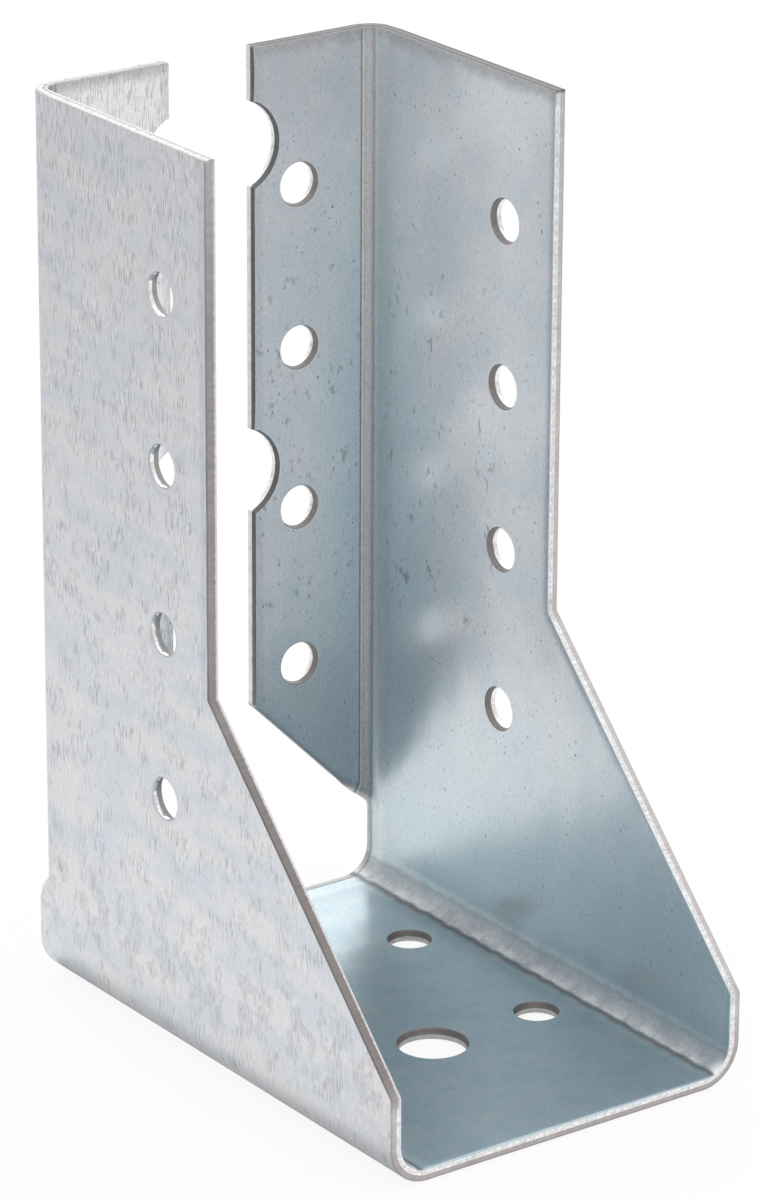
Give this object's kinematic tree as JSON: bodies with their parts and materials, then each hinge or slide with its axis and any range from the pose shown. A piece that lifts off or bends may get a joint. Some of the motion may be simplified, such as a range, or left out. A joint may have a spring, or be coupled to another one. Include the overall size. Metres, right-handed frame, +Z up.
{
  "type": "joist hanger",
  "caption": "Folded sheet-steel hanger that carries a joist end in a U-shaped seat and nails to a header through flanges turned inward behind the joist.",
  "frame": {"origin": "middle of the footprint on the underside of the seat", "axes": "+Z up from the seat to the top edge; +X across the joist; +Y from the joist toward the header"},
  "size_m": [0.049, 0.071, 0.109],
  "materials": {
    "galvanised_sheet": "hot-dip galvanised sheet, satin, with bare sheared edges"
  },
  "bodies": {
    "root": {"joist_hanger": "galvanised_sheet"}
  },
  "joints": []
}
